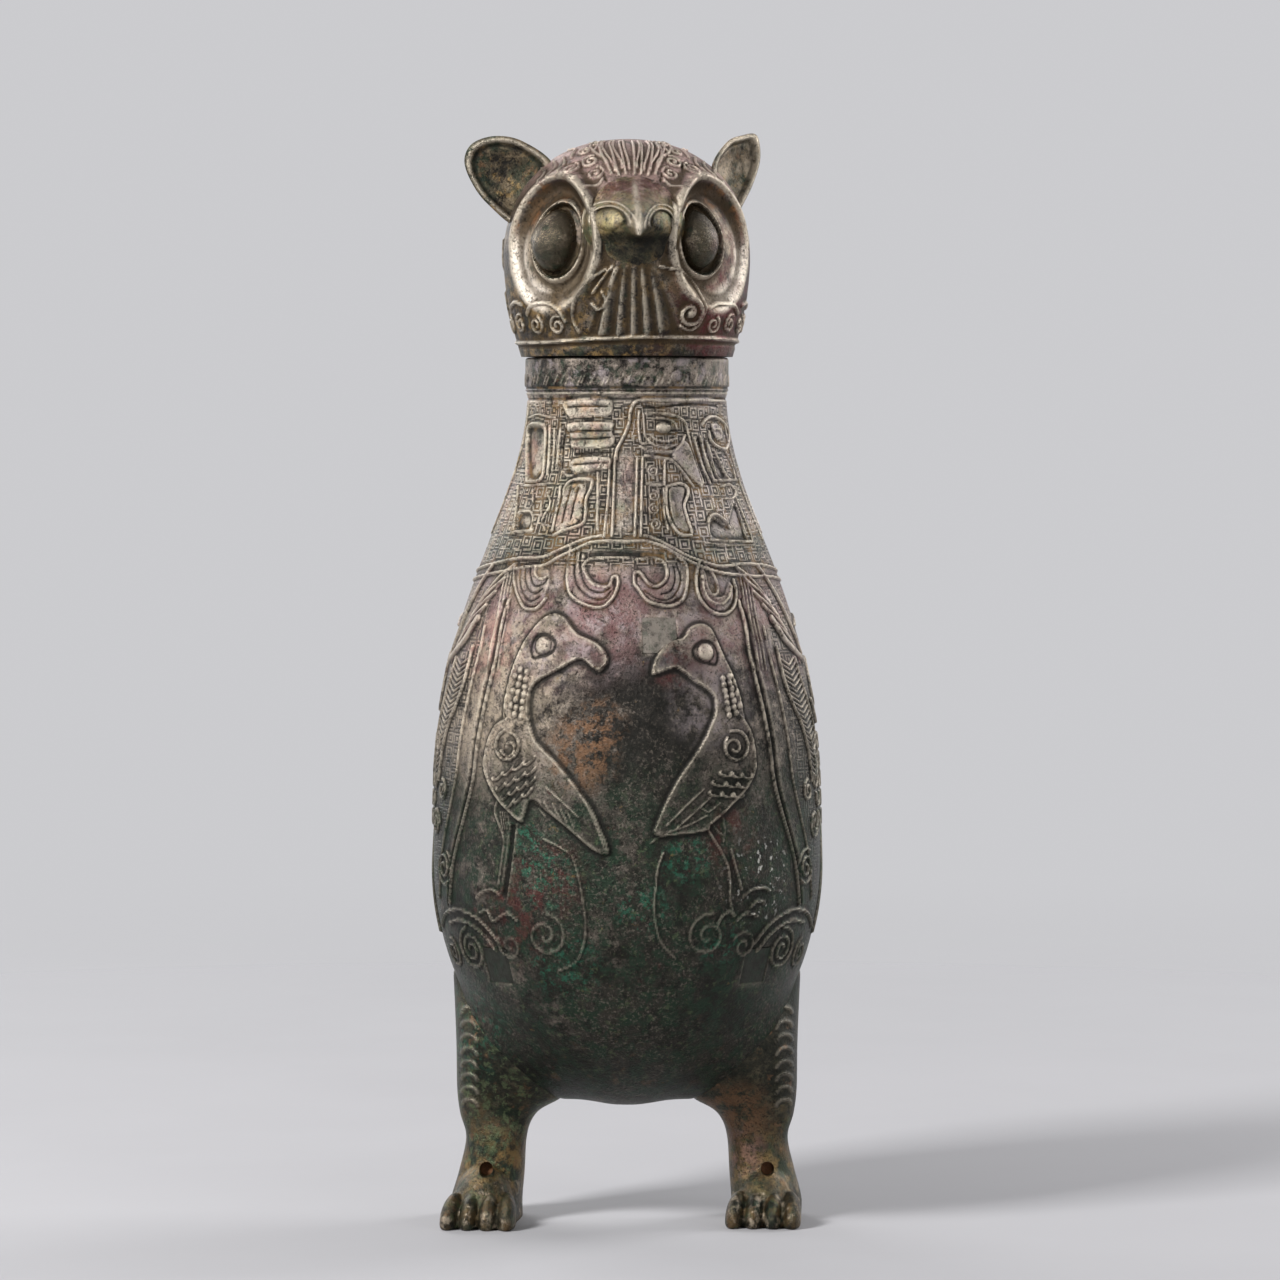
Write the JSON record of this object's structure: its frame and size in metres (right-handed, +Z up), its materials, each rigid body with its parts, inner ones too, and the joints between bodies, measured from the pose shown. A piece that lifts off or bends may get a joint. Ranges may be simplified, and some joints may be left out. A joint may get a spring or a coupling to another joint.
{
  "type": "owl wine vessel",
  "caption": "Bronze wine vessel in the form of a standing owl: round belly and neck on two clawed feet, with the owl's head as a lift-off lid.",
  "frame": {"origin": "on the table under the axis of the belly, at the middle of the bottom of the bounding box", "axes": "+Z up; the owl faces -Y; +X is the owl's left, on the viewer's right"},
  "size_m": [0.1282, 0.128, 0.3571],
  "materials": {
    "bronze": "aged bronze with green and red-brown patina",
    "dark_bronze": "dark green-black patina",
    "spacer_bronze": "grey-brown patina",
    "fired_clay": "rough fired clay"
  },
  "bodies": {
    "vessel": {"vessel_body": "bronze", "vessel_chaplet_1": "spacer_bronze", "vessel_chaplet_2": "spacer_bronze", "vessel_chaplet_3": "spacer_bronze", "vessel_chaplet_4": "spacer_bronze", "vessel_chaplet_5": "spacer_bronze", "vessel_chaplet_6": "spacer_bronze", "vessel_chaplet_7": "spacer_bronze", "vessel_chaplet_8": "spacer_bronze", "left_leg": "dark_bronze", "right_leg": "dark_bronze", "left_leg_core": "fired_clay", "right_leg_core": "fired_clay"},
    "lid_seat": {"lid_tongue": "dark_bronze"},
    "lid": {"lid_head": "bronze", "lid_chaplet_1": "spacer_bronze", "lid_chaplet_2": "spacer_bronze", "lid_chaplet_3": "spacer_bronze", "beak": "dark_bronze", "left_ear": "dark_bronze", "right_ear": "dark_bronze"}
  },
  "joints": [
    {"name": "lid_lift", "type": "slide", "parent": "vessel", "child": "lid_seat", "axis": [0, 0, 1], "range_m": [0, 0.06]},
    {"name": "lid_turn", "type": "hinge", "parent": "lid_seat", "child": "lid", "pos_m": [0, 0, 0.2836], "axis": [0, 0, 1], "continuous": true}
  ]
}
